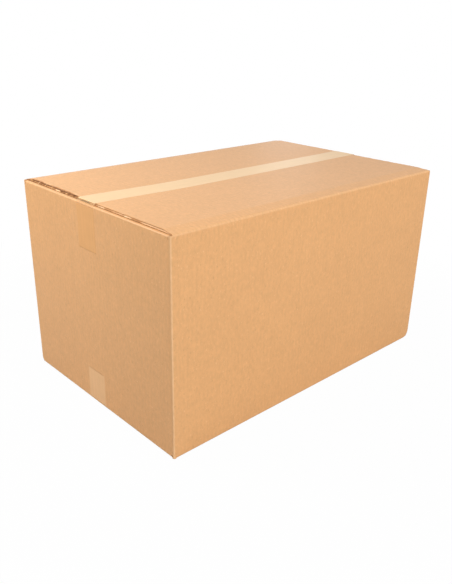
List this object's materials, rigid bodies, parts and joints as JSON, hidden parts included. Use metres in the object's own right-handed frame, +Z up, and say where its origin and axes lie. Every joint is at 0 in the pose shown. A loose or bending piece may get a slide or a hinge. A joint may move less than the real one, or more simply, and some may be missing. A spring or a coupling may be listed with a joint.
{
  "type": "closed cardboard box",
  "caption": "Closed rectangular shipping carton of corrugated board, with overlapping flaps sealed along the middle by clear packing tape.",
  "frame": {"origin": "middle of the underside, on the surface that the box stands on", "axes": "+X along the taped seams, +Y across them towards the rear panel, whose right edge is the glued one, +Z up"},
  "size_m": [0.6202, 0.4, 0.3552],
  "materials": {
    "kraft_board": "matte, uncoated kraft liner",
    "packing_tape": "semi-clear film with a soft gloss"
  },
  "bodies": {
    "root": {"carton": "kraft_board", "top_tape": "packing_tape", "bottom_tape": "packing_tape"}
  },
  "joints": []
}
